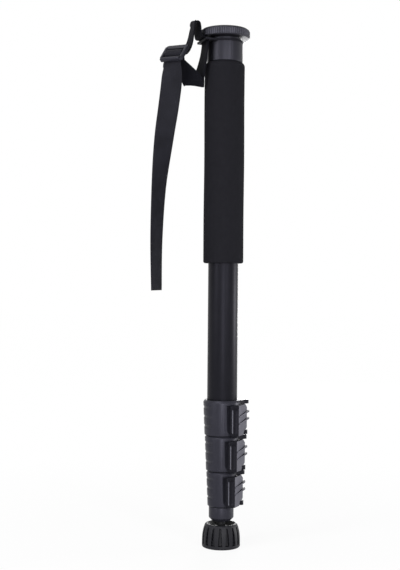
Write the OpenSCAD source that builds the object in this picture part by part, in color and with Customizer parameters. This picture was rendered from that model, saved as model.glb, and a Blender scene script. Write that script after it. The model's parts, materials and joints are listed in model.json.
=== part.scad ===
// Four-section camera monopod with flip locks, a foam grip, a wrist strap and a screw-up rubber foot.
// Millimetres, +Z up, origin on the tube axis at the bottom of the foot, front towards -Y.

/* [Platform] */
// Diameter of the camera platform
platform_d = 50; // [46:0.5:60]
// Height of the platform's rim
platform_h = 8; // [6:0.5:12]
// Rounding of the rim's edges
platform_edge = 1.5; // [0.5:0.1:2.5]
// Diameter of the neck under the rim
neck_d = 31; // [27:0.5:34]
// Height of the neck
neck_h = 2.5; // [2.5:0.5:6]
// Diameter of the spigot that centres the platform
spigot_d = 22; // [18:0.5:24]
// Thickness of the rubber face
pad_h = 1; // [0.6:0.1:2]
// Bare rim left round the rubber face
pad_margin = 2; // [1:0.5:5]
// Diameter of the camera stud
stud_d = 6.35; // [5:0.05:9.5]
// Height of the stud above the rubber face
stud_h = 4.8; // [4:0.1:6]
// Diameter of the stud's threaded shank
shank_d = 9.525; // [9.525:0.1:12]
// Thickness of the stud's flange
stud_flange_h = 2; // [1:0.1:3]

/* [Head] */
// Wall of the collar round the upper tube
collar_wall = 2.9; // [2:0.1:5]
// Height of the collar above the grip
collar_h = 19.5; // [15:0.5:30]
// Thickness of the collar's roof
collar_roof = 5.5; // [3:0.5:7]
// Length of the threaded plug in the tube
plug_h = 12; // [8:0.5:20]
// Number of set screws in the collar
set_screws = 3; // [2:1:6]
// Diameter of the set screws
set_screw_d = 3; // [2:0.5:4]
// Height of the set screws above the collar's bottom
set_screw_z = 6; // [4:0.5:9]

/* [Strap] */
// Width of the webbing
strap_w = 20.5; // [16:0.5:22]
// Thickness of the webbing
strap_t = 1.2; // [0.8:0.1:1.4]
// Thickness of the ring and ear that hold the strap
anchor_h = 2; // [1.6:0.1:3]
// How far the ring stands proud of the collar
anchor_lip = 0.4; // [0:0.1:1]
// Radial width of the ear's slot
ear_slot = 2.8; // [2.6:0.1:3.2]
// Radial width of the bar outside the slot
ear_bar = 3; // [2:0.1:4]
// Width of the ear beside the slot
ear_side = 2.6; // [2:0.1:5]
// Height of the buckle along the strap
buckle_h = 20.4; // [19.8:0.1:21]
// Thickness of the buckle's bars
buckle_bar_t = 2.5; // [1.5:0.1:2.8]
// Thickness of the buckle's side rails
buckle_rail_t = 4; // [3:0.1:6]
// Width of the buckle's side rails
buckle_rail_w = 2.4; // [2:0.1:4]
// Width of the buckle's middle bar
buckle_mid = 3; // [2:0.1:3.2]
// Height of the buckle's two slots
buckle_slot = 4.2; // [4:0.1:4.4]
// Diameter of the round lip along the buckle's lower bar
buckle_lip_d = 3; // [2:0.1:3.2]

/* [Leg tubes] */
// Diameter of the upper tube
tube_d = 30; // [28:0.5:34]
// Wall of every tube
tube_wall = 1.1; // [0.8:0.1:1.4]
// Radial room between one tube and the next
tube_gap = 0.7; // [0.5:0.05:0.9]
// Length of upper tube that shows between the locks and the grip
bare_len = 136.5; // [80:0.5:200]
// Length of the guide bushes
bush_h = 25; // [12:0.5:40]
// Room above the folded inner tubes
nest_gap = 3; // [1:0.5:10]

/* [Grip] */
// Diameter of the foam grip
foam_d = 40.5; // [38:0.5:46]
// Length of the foam grip
foam_len = 200.5; // [120:0.5:260]
// Rounding of the grip's top edge
foam_top_round = 4; // [1:0.5:4.5]
// Rounding of the grip's bottom edge
foam_end_round = 2; // [0.5:0.5:3]

/* [Locks] */
// Height of a lock housing
lock_h = 35; // [32:0.5:40]
// Gap between one housing and the next
lock_gap = 0.5; // [0.3:0.1:2]
// Wall of the housing round its tube, at the top
lock_wall = 3.8; // [3.6:0.1:5]
// How much narrower the housing is at its bottom
lock_taper = 1.35; // [0.5:0.05:1.6]
// Height of the housing's top shoulder
lock_shoulder = 2; // [1:0.1:3]
// Height of the lower part that guides the inner tube
lock_guide_h = 19; // [17.5:0.5:21]
// Height of each grip groove
groove_h = 3; // [1.5:0.1:4]
// Depth of the grip grooves
groove_depth = 0.9; // [0.4:0.1:1.4]
// Thickness of the hinge band over the lever
band_h = 4; // [3:0.1:5]
// Thickness of the hinge lug under the lever
lug_h = 4.3; // [3:0.1:5]
// Diameter of the hinge pin
pin_d = 2.4; // [2:0.1:3]
// How far the hinge pin stands outside the housing
pin_out = 4.4; // [4.3:0.1:5]
// Diameter of the lever's hinge knuckle
knuckle_d = 5.2; // [4.8:0.1:5.6]
// Diameter of the hinge band's round end
band_boss_d = 8.4; // [6:0.1:8.8]
// Diameter of the hinge lug's round end
lug_boss_d = 6.4; // [5:0.1:7.4]
// How far the lever's face stands outside the housing
lever_face = 2.7; // [2.4:0.1:3.2]
// Depth of the thumb scoop in the lever's nose
scoop_depth = 1.1; // [0.3:0.1:1.2]
// How proud the ribs on the lever stand
rib_proud = 2.4; // [0.6:0.1:2.6]
// Thickness of the ribs on the lever
rib_h = 1.3; // [0.8:0.1:2]
// Depth of the finger pocket beside the lever's nose
pocket_depth = 2.4; // [1:0.1:2.6]
// Width of the brake shoe
shoe_w = 7; // [5:0.5:8]
// Height of the brake shoe
shoe_h = 10; // [6:0.5:10.5]
// Throw of the lever's cam
cam_throw = 1.5; // [1.2:0.05:1.5]
// Diameter of the screw that holds a housing to its tube
lock_screw_d = 2.5; // [2:0.1:3]

/* [Foot] */
// Height of the rubber foot
foot_h = 23.3; // [22:0.1:30]
// Diameter of the foot at its bottom
foot_d = 38.2; // [35:0.2:44]
// Diameter of the foot's top rim
foot_top_d = 31.4; // [29:0.2:33]
// Rounding of the foot's bottom edge
foot_edge = 1.5; // [0.5:0.1:2]
// Number of flutes round the foot
flutes = 16; // [8:1:18]
// Width of a flute at its bottom
flute_w = 3.7; // [2:0.1:4.4]
// Depth of a flute at its bottom
flute_depth = 1.6; // [0.8:0.1:2]
// Room between the foot and the ferrule
foot_gap = 3; // [2:0.1:4]
// How far the foot screws up to bare the spike
foot_lift = 6; // [5:0.1:7]
// Diameter of the threaded stem
stem_d = 8; // [6:0.5:9]
// How far the spike's tip sits inside the foot
spike_in = 1; // [0.5:0.1:3]
// Height of the threaded insert in the foot
insert_h = 9; // [6:0.5:10]
// Diameter of the insert across its corners
insert_d = 18; // [15:0.5:20]
// Thickness of the wiper ring
wiper_h = 1.5; // [1:0.1:2.5]
// Diameter of the ferrule on the smallest tube
ferrule_d = 24.9; // [23:0.1:28]
// Height of the ferrule
ferrule_h = 14.2; // [12:0.1:24]
// Chamfer round the ferrule's bottom
ferrule_chamfer = 3.2; // [2:0.1:3.6]
// Thickness of the ferrule's floor
ferrule_floor = 4; // [3:0.1:6]

/* [Fits] */
// Radial clearance of the sliding tubes
slide_fit = 0.08; // [0.04:0.01:0.1]
// Radial clearance on pins and threads
pin_fit = 0.05; // [0.03:0.01:0.1]
// Clearance round the brake shoes
shoe_fit = 0.1; // [0.06:0.01:0.15]
// Clear room between pieces that pass each other
part_gap = 0.4; // [0.3:0.05:0.5]

/* [Hidden] */
$fn = 96;

// Colours of the finishes
BLACK_PLASTIC = "#2c2c31";
BLACK_TUBE = "#1c1c1f";
BLACK_FOAM = "#222226";
BLACK_RUBBER = "#29292d";
BLACK_WEBBING = "#25252c";
PALE_PLASTIC = "#b8b6ae";
STEEL = "#a9abae";
BRASS = "#b59a5b";

// Heights, from the floor up
ferrule_z = foot_h + foot_gap;
lock_base = ferrule_z + ferrule_h + lock_gap;
locks_top = lock_base + 3 * lock_h + 2 * lock_gap;
foam_z = locks_top + bare_len;
collar_z = foam_z + foam_len;
anchor_z = collar_z + collar_h;
neck_z = anchor_z + anchor_h;
platform_z = neck_z + neck_h;
pad_z = platform_z + platform_h;
stud_z = pad_z + pad_h;
tube_top = anchor_z - collar_roof;
plug_z = tube_top - plug_h;
nest_top = plug_z - nest_gap;
dish_z = foot_h - foot_lift - part_gap + foot_gap;
insert_top = dish_z - wiper_h - shoe_fit;

// Radii of the tubes, counted from the outermost, and of the housings round them
function tube_r(i) = tube_d / 2 - (i - 1) * (tube_wall + tube_gap);
function bore_r(i) = tube_r(i) - tube_wall;
function lock_r(i) = tube_r(i) + lock_wall;
function lock_r_at(i, z) = lock_r(i) - lock_taper * (1 - z / lock_h);
function lock_z(i) = lock_base + (3 - i) * (lock_h + lock_gap);
collar_r = tube_d / 2 + collar_wall;
function set_screw_a(k) = 45 + k * 90 / (set_screws - 1);

// Lever geometry, seen from above: bearings of the hinge pin and of the lever's face
pin_a = 12.5;
face_a = -25;
knuckle_r = knuckle_d / 2;
nose_r = 0.9;
nose_v = -12.9;
nose_in = 3.2;
bevel_v = -7.3;
lever_bottom = part_gap;
lever_top = lock_h - band_h - part_gap;
scoop_r = 5.5;
scoop_low = lever_bottom + 4.5;
scoop_high = lever_top - 5.7;
rib_heights = [15.2, 22.3];
rib_end_v = -6.6;
rib_start = 0.4;
rib_tilt = 10;
hinge_cut = [4, 7];
lug_cut = [3, 5];
shoe_z = lug_h + 2.4;
groove_heights = [7.6, 17, 26.2];
groove_a = 200;
groove_half = 28;
groove_shift = groove_depth / (1 - cos(groove_half));
pocket_r = 5.2;
arm_root = 1.3;
screw_a = 95;
screw_z = (lock_guide_h + lock_h) / 2;
screw_head_r = lock_screw_d / 2 + 1.1;
screw_head_h = 1.2;
function pin_dist(i) = lock_r(i) + pin_out;
function lever_in_r(i) = lock_r(i) + part_gap;
function lever_pin(i) = polar(pin_dist(i), pin_a - face_a);
function nose_at(i) = [lock_r(i) - nose_in, nose_v];
function shoe_out_r(i) = pin_dist(i) - knuckle_r - cam_throw - shoe_fit;
function polar(r, a) = [r * cos(a), r * sin(a)];

// Strap anchor: the bearing of its ear, and the middle of its slot
ear_a = -160;
ear_mid = collar_r + anchor_lip + 1.3 + ear_slot / 2;
ear_room = 0.7;
ear_half = strap_w / 2 + ear_room;

// Buckle: middle and turn, and the route of the webbing as x, y, z, bearing and tilt of its width
buckle_at = [-50.4, -16.5, 490.1];
buckle_turn = [54, 3, -36];
buckle_corner = 2.5;
buckle_up = turned([sin(buckle_turn.y) * sin(buckle_turn.x), cos(buckle_turn.x),
    cos(buckle_turn.y) * sin(buckle_turn.x)], buckle_turn.z);
buckle_out = turned([sin(buckle_turn.y) * cos(buckle_turn.x), -sin(buckle_turn.x),
    cos(buckle_turn.y) * cos(buckle_turn.x)], buckle_turn.z);
function turned(v, a) = [v.x * cos(a) - v.y * sin(a), v.x * sin(a) + v.y * cos(a), v.z];
function on_buckle(up, out) =
    let (p = buckle_at + up * buckle_up + out * buckle_out) [p.x, p.y, p.z, buckle_turn.z, -buckle_turn.y];
strap_steps = 2;
strap_route = [
    on_buckle(0, -2.6), on_buckle(-1.2, -5.4), on_buckle(-3.6, -8.6), [-41.2, -13.2, 475.6, -46, 0],
    [-35.4, -13.3, 467.6, -24, -4], [-31.8, -12.4, 462.8, -2, -7], [-30.9, -9.7, 459.9, 0, -7],
    [-30, -7.1, 462.7, -4, -7], [-27.4, -6.4, 467.4, -38, -4], [-24.6, -6.8, 473.4, -58, 0],
    [-22.6, -7.4, 482, -65, 0], [-21, -7.6, 492, -70, 0], [-19.7, -7.2, 502.6, -70, 0],
    [-20.4, -7.4, 505.9, -70, 0], [-22.8, -8.3, 506.8, -70, 0], [-26.6, -9.6, 508.4, -70, 0],
    [-27.5, -9.8, 517.5, -70, -14], [-28.1, -10, 521.6, -73, -14], [-30, -10.4, 523.3, -75, -14],
    [-31.9, -10.8, 521.6, -77, -14], [-32.5, -11, 517.5, -77, -10], [-35.6, -10.2, 501, -68, 0],
    [-40.2, -8.2, 494.4, -50, -1], on_buckle(5.4, -6.4), on_buckle(4, -2.8), on_buckle(3.7, -0.3),
    on_buckle(2.7, 1.7), on_buckle(0, 2.45), on_buckle(-2.6, 1.7), on_buckle(-3.6, -0.2),
    on_buckle(-4.4, -2.05), on_buckle(-6.4, -2.7), on_buckle(-9.5, -2.8),
    [-52.3, -20.9, 475.5, -30, 0], [-52.8, -22, 459, 0, 0],
    [-55.6, -22, 435, 12, 0], [-59.7, -22, 405, 25, 0], [-64.2, -21.4, 360, 47, 0],
    [-66.3, -20.6, 306, 57, 0], [-65.9, -20, 256, 62, 0]];

// A smooth curve through the route's rows
function row(k) = strap_route[max(0, min(len(strap_route) - 1, k))];
function spline(a, b, c, d, t) =
    0.5 * (2 * b + (c - a) * t + (2 * a - 5 * b + 4 * c - d) * t * t + (3 * b - a - 3 * c + d) * t * t * t);
strap_path = [
    for (k = [0 : len(strap_route) - 2], s = [0 : strap_steps - 1])
        spline(row(k - 1), row(k), row(k + 1), row(k + 2), s / strap_steps),
    row(len(strap_route) - 1)];
rings = len(strap_path);
function unit(v) = v / norm(v);
function place(k) = [strap_path[k][0], strap_path[k][1], strap_path[k][2]];
function along(k) = unit(place(min(k + 1, rings - 1)) - place(max(k - 1, 0)));
function wide(k) = let (a = strap_path[k][3], b = strap_path[k][4])
    [cos(b) * cos(a), cos(b) * sin(a), sin(b)];
function across(k) = unit(wide(k) - (wide(k) * along(k)) * along(k));
function strap_ring(k) =
    let (p = place(k), w = across(k) * strap_w / 2, t = cross(along(k), across(k)) * strap_t / 2)
    [p + w + t, p - w + t, p - w - t, p + w - t];

// Foot: the bell's radius at a height
bell_power = 3.4;
bell_steps = 9;
flute_z = 3.7;
flute_rise = foot_h - 6;
flute_lean = 5;
flute_turn = -3.8;
function bell_r(z) = foot_d / 2 - (foot_d - foot_top_d) / 2 * pow(z / foot_h, bell_power);
function arc(c, r, a0, a1, n) = [for (k = [0 : n]) c + polar(r, a0 + (a1 - a0) * k / n)];

// A child turned to point outwards along a bearing, at a height
module radial(a, r, z) {
    rotate([0, 0, a]) translate([r, 0, z]) rotate([0, 90, 0]) children();
}

module mounting_plate() {
    r = platform_d / 2;
    e = platform_edge;
    under = concat(
        [[0, tube_top], [spigot_d / 2, tube_top], [spigot_d / 2, neck_z], [neck_d / 2, neck_z],
         [neck_d / 2, platform_z]],
        arc([r - e, platform_z + e], e, -90, 0, 5),
        arc([r - e, pad_z - e], e, 0, 90, 5),
        [[0, pad_z]]);
    color(BLACK_PLASTIC) difference() {
        rotate_extrude() polygon(under);
        translate([0, 0, tube_top - 1]) cylinder(d = shank_d, h = pad_z);
        translate([0, 0, pad_z - stud_flange_h]) cylinder(d = shank_d + 3, h = platform_h);
    }
}

module plate_pad() {
    color(BLACK_RUBBER) translate([0, 0, pad_z]) difference() {
        cylinder(d = platform_d - 2 * pad_margin, h = pad_h);
        translate([0, 0, -1]) cylinder(d = stud_d + 2, h = pad_h + 2);
    }
}

module camera_stud() {
    tip = 0.6;
    bottom = plug_z + 1;
    top = stud_z + stud_h;
    color(STEEL) rotate_extrude() polygon([
        [0, bottom], [shank_d / 2, bottom], [shank_d / 2, pad_z - stud_flange_h],
        [shank_d / 2 + 1.5, pad_z - stud_flange_h], [shank_d / 2 + 1.5, pad_z],
        [stud_d / 2, pad_z], [stud_d / 2, top - tip], [stud_d / 2 - tip, top], [0, top]]);
}

module strap_anchor() {
    ear_out = ear_mid + ear_slot / 2 + ear_bar;
    corner = 2;
    wide_half = ear_half + ear_side;
    color(BLACK_PLASTIC) translate([0, 0, anchor_z]) difference() {
        linear_extrude(anchor_h) difference() {
            union() {
                circle(r = collar_r + anchor_lip);
                rotate(ear_a) {
                    translate([collar_r / 2, -wide_half])
                        square([ear_out - collar_r / 2 - corner, 2 * wide_half]);
                    translate([collar_r / 2, -wide_half + corner])
                        square([ear_out - collar_r / 2, 2 * (wide_half - corner)]);
                    for (s = [-1, 1]) translate([ear_out - corner, s * (wide_half - corner)])
                        circle(r = corner);
                }
            }
            circle(d = spigot_d);
            rotate(ear_a) translate([ear_mid - ear_slot / 2, -ear_half]) square([ear_slot, 2 * ear_half]);
        }
    }
}

module head_collar() {
    edge = 0.8;
    color(BLACK_PLASTIC) difference() {
        rotate_extrude() polygon([
            [spigot_d / 2, tube_top], [tube_d / 2, tube_top], [tube_d / 2, collar_z],
            [collar_r - edge, collar_z], [collar_r, collar_z + edge], [collar_r, anchor_z],
            [spigot_d / 2, anchor_z]]);
        for (k = [0 : set_screws - 1])
            radial(set_screw_a(k), 0, collar_z + set_screw_z) cylinder(d = set_screw_d, h = collar_r + 1);
    }
}

module head_collar_screws() {
    inside = bore_r(1) + 0.1;
    key = set_screw_d * 0.3;
    color(STEEL) for (k = [0 : set_screws - 1])
        radial(set_screw_a(k), inside, collar_z + set_screw_z) difference() {
            cylinder(d = set_screw_d, h = collar_r - inside - 0.3);
            translate([0, 0, collar_r - inside - 1.5]) cylinder(r = key, h = 2, $fn = 6);
        }
}

module tube_plug() {
    color(PALE_PLASTIC) translate([0, 0, plug_z]) difference() {
        cylinder(r = bore_r(1), h = plug_h);
        translate([0, 0, -1]) cylinder(d = shank_d, h = plug_h + 2);
    }
}

// A leg tube, with the screw hole that its lock housing needs
module leg_tube(i, bottom, top) {
    color(BLACK_TUBE) difference() {
        translate([0, 0, bottom]) cylinder(r = tube_r(i), h = top - bottom);
        translate([0, 0, bottom - 1]) cylinder(r = bore_r(i), h = top - bottom + 2);
        if (i < 4) radial(screw_a, 0, lock_z(i) + screw_z) cylinder(d = lock_screw_d, h = tube_r(i) + 1);
        if (i == 1) for (k = [0 : set_screws - 1])
            radial(set_screw_a(k), 0, collar_z + set_screw_z) cylinder(d = set_screw_d, h = tube_r(i) + 1);
    }
}

module upper_tube() { leg_tube(1, lock_z(1) + lock_guide_h, tube_top); }
module tube_2() { leg_tube(2, lock_z(2) + lock_guide_h, nest_top); }
module tube_3() { leg_tube(3, lock_z(3) + lock_guide_h, nest_top); }
module tube_4() { leg_tube(4, ferrule_z + ferrule_floor, nest_top); }

// A guide bush over the top end of an inner tube, running in the bore of the tube round it
module guide_bush(i) {
    color(PALE_PLASTIC) translate([0, 0, nest_top - bush_h]) difference() {
        cylinder(r = bore_r(i - 1) - slide_fit, h = bush_h);
        translate([0, 0, -1]) cylinder(r = tube_r(i), h = bush_h + 2);
    }
}

module bush_2() { guide_bush(2); }
module bush_3() { guide_bush(3); }
module bush_4() { guide_bush(4); }

module foam_grip() {
    r = foam_d / 2;
    most = r - tube_d / 2 - 0.5;
    t = min(foam_top_round, most);
    b = min(foam_end_round, most);
    color(BLACK_FOAM) rotate_extrude() polygon(concat(
        [[tube_d / 2, foam_z]],
        arc([r - b, foam_z + b], b, -90, 0, 5),
        arc([r - t, collar_z - t], t, 0, 90, 6),
        [[tube_d / 2, collar_z]]));
}

module wrist_strap() {
    sides = [for (k = [0 : rings - 2], c = [0 : 3], half = [0, 1])
        let (a = 4 * k + c, b = 4 * k + (c + 1) % 4)
        half == 0 ? [a, a + 4, b + 4] : [a, b + 4, b]];
    last = 4 * (rings - 1);
    caps = [[0, 1, 2], [0, 2, 3], [last + 2, last + 1, last], [last + 3, last + 2, last]];
    color(BLACK_WEBBING) polyhedron([for (k = [0 : rings - 1]) each strap_ring(k)], concat(sides, caps));
}

// A flat plate with round corners, centred, and as thick as asked
module round_plate(w, h, t, corner) {
    translate([0, 0, -t / 2]) linear_extrude(t) {
        square([w - 2 * corner, h], center = true);
        square([w, h - 2 * corner], center = true);
        for (x = [-1, 1], y = [-1, 1]) translate([x * (w / 2 - corner), y * (h / 2 - corner)])
            circle(r = corner);
    }
}

module strap_buckle() {
    slot_w = strap_w + 2 * ear_room;
    outer_w = slot_w + 2 * buckle_rail_w;
    rail_x = slot_w / 2 + buckle_rail_w / 2;
    color(BLACK_PLASTIC) translate(buckle_at) rotate(buckle_turn) difference() {
        union() {
            round_plate(outer_w, buckle_h, buckle_bar_t, buckle_corner);
            for (s = [-1, 1]) translate([s * rail_x, 0, 0])
                round_plate(buckle_rail_w, buckle_h - 2 * buckle_corner, buckle_rail_t, buckle_rail_w / 3);
            translate([-slot_w / 2, -buckle_h / 2 + buckle_lip_d / 2 + 0.2, buckle_bar_t / 2])
                rotate([0, 90, 0]) cylinder(d = buckle_lip_d, h = slot_w);
        }
        for (s = [-1, 1]) translate([0, s * (buckle_mid + buckle_slot) / 2, 0])
            cube([slot_w, buckle_slot, 2 * buckle_rail_t], center = true);
    }
}

// Plan of a hinge arm: from the housing, between two bearings, out to the round boss on the pin
module arm_plan(i, front, back, boss) {
    root = lock_r(i) - lock_taper - arm_root;
    pin = polar(pin_dist(i), pin_a);
    polygon([polar(root, pin_a - front), pin + polar(boss, pin_a - 80), pin + polar(boss, pin_a + 80),
        polar(root, pin_a + back)]);
    translate(pin) circle(r = boss);
}

module lock_housing(i) {
    top = lock_r(i);
    bottom = lock_r_at(i, 0);
    edge = 0.6;
    guide_r = tube_r(i + 1) + slide_fit;
    head_in = lock_r_at(i, screw_z) - screw_head_h - 0.3;
    pocket_a = atan2(nose_v, lock_r(i) - nose_in) + face_a;
    color(BLACK_PLASTIC) translate([0, 0, lock_z(i)]) difference() {
        union() {
            rotate_extrude() polygon([
                [0, 0], [bottom - edge, 0], [bottom, edge], [top, lock_h - lock_shoulder],
                [top - lock_shoulder * 0.7, lock_h], [0, lock_h]]);
            translate([0, 0, lock_h - band_h]) linear_extrude(band_h) arm_plan(i, 50, 38, band_boss_d / 2);
            linear_extrude(lug_h) arm_plan(i, 12, 30, lug_boss_d / 2);
        }
        translate([0, 0, -1]) cylinder(r = guide_r, h = lock_h + 2);
        translate([0, 0, lock_guide_h]) cylinder(r = tube_r(i), h = lock_h);
        rotate([0, 0, pin_a]) {
            translate([tube_r(i + 1) / 2, -shoe_w / 2 - shoe_fit, shoe_z - shoe_fit])
                cube([lock_r(i), shoe_w + 2 * shoe_fit, shoe_h + 2 * shoe_fit]);
            translate([pin_dist(i), 0, -1]) cylinder(d = pin_d, h = lock_h + 2);
        }
        for (z = groove_heights) translate([0, 0, z]) linear_extrude(groove_h) difference() {
            translate(polar(top, groove_a)) circle(r = top * 0.6);
            translate(polar(-groove_shift, groove_a))
                circle(r = lock_r_at(i, z) + groove_shift * cos(groove_half));
        }
        rotate([0, 0, pocket_a]) translate([lock_r(i) + pocket_r - pocket_depth, 0, pocket_r + 1]) {
            sphere(r = pocket_r);
            cylinder(r = pocket_r, h = lever_top - pocket_r - 1);
        }
        radial(screw_a, 0, screw_z) cylinder(d = lock_screw_d, h = lock_r(i) + 1);
        radial(screw_a, head_in, screw_z) cylinder(r = screw_head_r, h = 4);
    }
}

module lock_1_collar() { lock_housing(1); }
module lock_2_collar() { lock_housing(2); }
module lock_3_collar() { lock_housing(3); }

module hinge_pin(i) {
    color(STEEL) translate([0, 0, lock_z(i)]) translate(polar(pin_dist(i), pin_a)) translate([0, 0, 0.4])
        cylinder(d = pin_d, h = lock_h - 0.8);
}

module lock_1_pin() { hinge_pin(1); }
module lock_2_pin() { hinge_pin(2); }
module lock_3_pin() { hinge_pin(3); }

module lock_screw(i) {
    inside = bore_r(i) + 0.1;
    head_in = lock_r_at(i, screw_z) - screw_head_h - 0.3;
    color(STEEL) radial(screw_a, inside, lock_z(i) + screw_z) difference() {
        union() {
            cylinder(d = lock_screw_d, h = head_in - inside + screw_head_h / 2);
            translate([0, 0, head_in - inside]) cylinder(r = screw_head_r, h = screw_head_h);
        }
        for (a = [0, 90]) rotate([0, 0, a]) translate([0, 0, head_in - inside + screw_head_h])
            cube([2.4, 0.6, 1.2], center = true);
    }
}

module lock_1_screw() { lock_screw(1); }
module lock_2_screw() { lock_screw(2); }
module lock_3_screw() { lock_screw(3); }

// Plan of a lever in its own frame: +X out through its face, +Y towards the hinge
module lever_plan(i) {
    pin = lever_pin(i);
    nose = nose_at(i);
    inner = lever_in_r(i);
    difference() {
        union() {
            polygon([[pin.x + knuckle_r, pin.y], [lock_r(i) + lever_face, bevel_v], nose + polar(nose_r, -50),
                nose + polar(nose_r, -150), [0.6 * inner, bevel_v], [0.5 * inner, 0], pin]);
            translate(pin) circle(r = knuckle_r);
            translate(nose) circle(r = nose_r);
        }
        circle(r = inner);
    }
}

// Plan of a rib: it starts low on the lever's face and stands proud round the outside of the knuckle
module rib_plan(i) {
    pin = lever_pin(i);
    r = knuckle_r + rib_proud;
    polygon([[lock_r(i) + lever_face + rib_start, rib_end_v], pin + [r, 0], pin, [lock_r(i) + 1, rib_end_v]]);
    intersection() {
        translate(pin) circle(r = r);
        polygon([pin, pin + [0, -3 * r], pin + [3 * r, -3 * r], pin + polar(4 * r, 50)]);
    }
}

// Side view of a lever: cut away over the lower hinge lug, with bevelled nose and hinge corners
module lever_side(i) {
    v = lever_pin(i).y;
    clear_z = lug_h + part_gap;
    corner = 3.5;
    polygon([[nose_v - corner, lever_bottom + corner], [nose_v, lever_bottom], [v - 8.4, lever_bottom],
        [v - 6.8, clear_z], [v - lug_cut.x, clear_z], [v + knuckle_d, clear_z + lug_cut.y],
        [v + knuckle_d, lever_top - hinge_cut.y], [v - hinge_cut.x, lever_top], [nose_v, lever_top],
        [nose_v - corner, lever_top - corner]]);
}

module flip_lever(i) {
    pin = lever_pin(i);
    a = [lock_r(i) + lever_face, bevel_v];
    b = nose_at(i) + polar(nose_r, -50);
    scoop_out = unit([b.y - a.y, a.x - b.x]) * -1;
    scoop_at = (a + b) / 2 + scoop_out * (scoop_r - scoop_depth);
    cam_at = pin - unit(pin) * cam_throw;
    color(BLACK_PLASTIC) translate([0, 0, lock_z(i)]) rotate([0, 0, face_a]) difference() {
        union() {
            intersection() {
                linear_extrude(lock_h) lever_plan(i);
                rotate([90, 0, 90]) linear_extrude(2 * lock_r(i)) lever_side(i);
            }
            for (z = rib_heights) translate([0, pin.y, z]) rotate([rib_tilt, 0, 0]) translate([0, -pin.y, 0])
                linear_extrude(rib_h) rib_plan(i);
            translate([cam_at.x, cam_at.y, shoe_z]) cylinder(r = knuckle_r, h = shoe_h);
        }
        translate([pin.x, pin.y, -1]) cylinder(r = pin_d / 2 + pin_fit, h = lock_h + 2);
        translate(scoop_at) {
            translate([0, 0, scoop_low]) cylinder(r = scoop_r, h = scoop_high - scoop_low);
            for (z = [scoop_low, scoop_high]) translate([0, 0, z]) sphere(r = scoop_r);
        }
    }
}

module lever_1() { flip_lever(1); }
module lever_2() { flip_lever(2); }
module lever_3() { flip_lever(3); }

module brake_shoe(i) {
    color(PALE_PLASTIC) translate([0, 0, lock_z(i) + shoe_z]) linear_extrude(shoe_h) difference() {
        intersection() {
            circle(r = shoe_out_r(i));
            rotate(pin_a) translate([tube_r(i + 1) / 2, -shoe_w / 2]) square([lock_r(i), shoe_w]);
        }
        circle(r = tube_r(i + 1) + slide_fit);
    }
}

module shoe_1() { brake_shoe(1); }
module shoe_2() { brake_shoe(2); }
module shoe_3() { brake_shoe(3); }

module foot_ferrule() {
    r = ferrule_d / 2;
    top = ferrule_z + ferrule_h;
    edge = 0.6;
    boss_top = top + 5.5;
    color(BLACK_PLASTIC) rotate_extrude() polygon([
        [stem_d / 2, ferrule_z], [r - ferrule_chamfer, ferrule_z], [r, ferrule_z + ferrule_chamfer],
        [r, top - edge], [r - edge, top], [tube_r(4), top], [tube_r(4), ferrule_z + ferrule_floor],
        [bore_r(4), ferrule_z + ferrule_floor], [bore_r(4), boss_top], [stem_d / 2, boss_top]]);
}

module spike_stem() {
    base = insert_top - insert_h - 0.8;
    tip_r = 0.6;
    color(STEEL) rotate_extrude() polygon([
        [0, spike_in], [tip_r, spike_in], [stem_d * 0.4, base], [stem_d / 2, base],
        [stem_d / 2, ferrule_z + ferrule_h], [0, ferrule_z + ferrule_h]]);
}

module foot_wiper() {
    color(BLACK_RUBBER) translate([0, 0, dish_z - wiper_h]) difference() {
        cylinder(d = insert_d - 1, h = wiper_h);
        translate([0, 0, -1]) cylinder(r = stem_d / 2 + part_gap, h = wiper_h + 2);
    }
}

module rubber_foot() {
    r = foot_d / 2;
    rim = 0.8;
    land = 2.2;
    mouth = ferrule_d / 2 - ferrule_chamfer + 0.5;
    step = (foot_h - rim - foot_edge) / bell_steps;
    floor_r = bell_r(flute_z) - flute_depth;
    color(BLACK_RUBBER) difference() {
        rotate_extrude() polygon(concat(
            [[0, 0]],
            arc([r - foot_edge, foot_edge], foot_edge, -90, 0, 5),
            [for (k = [1 : bell_steps]) [bell_r(foot_edge + k * step), foot_edge + k * step]],
            [[foot_top_d / 2 - rim, foot_h], [foot_top_d / 2 - land, foot_h], [mouth, dish_z], [0, dish_z]]));
        translate([0, 0, -1]) cylinder(r = stem_d / 2 + 0.8, h = foot_h);
        translate([0, 0, insert_top - insert_h]) cylinder(d = insert_d, h = foot_h, $fn = 6);
        translate([0, 0, insert_top]) cylinder(d = insert_d - 1 + 2 * shoe_fit, h = foot_h);
        for (k = [0 : flutes - 1]) rotate([0, 0, k * 360 / flutes + flute_turn])
            translate([floor_r, 0, flute_z]) rotate([0, -flute_lean, 0]) rotate([90, 0, 90]) linear_extrude(r)
                polygon([[-flute_w / 2, 0], [flute_w / 2, 0], [0.8, flute_rise], [-0.8, flute_rise]]);
    }
}

module foot_insert() {
    color(BRASS) translate([0, 0, insert_top - insert_h]) difference() {
        cylinder(d = insert_d, h = insert_h, $fn = 6);
        translate([0, 0, -1]) cylinder(r = stem_d / 2 + pin_fit, h = insert_h + 2);
    }
}

mounting_plate();
plate_pad();
camera_stud();
strap_anchor();
head_collar();
head_collar_screws();
tube_plug();
upper_tube();
foam_grip();
wrist_strap();
strap_buckle();
lock_1_collar();
lock_1_pin();
lock_1_screw();
lever_1();
shoe_1();
tube_2();
bush_2();
lock_2_collar();
lock_2_pin();
lock_2_screw();
lever_2();
shoe_2();
tube_3();
bush_3();
lock_3_collar();
lock_3_pin();
lock_3_screw();
lever_3();
shoe_3();
tube_4();
bush_4();
foot_ferrule();
spike_stem();
foot_wiper();
rubber_foot();
foot_insert();
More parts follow.
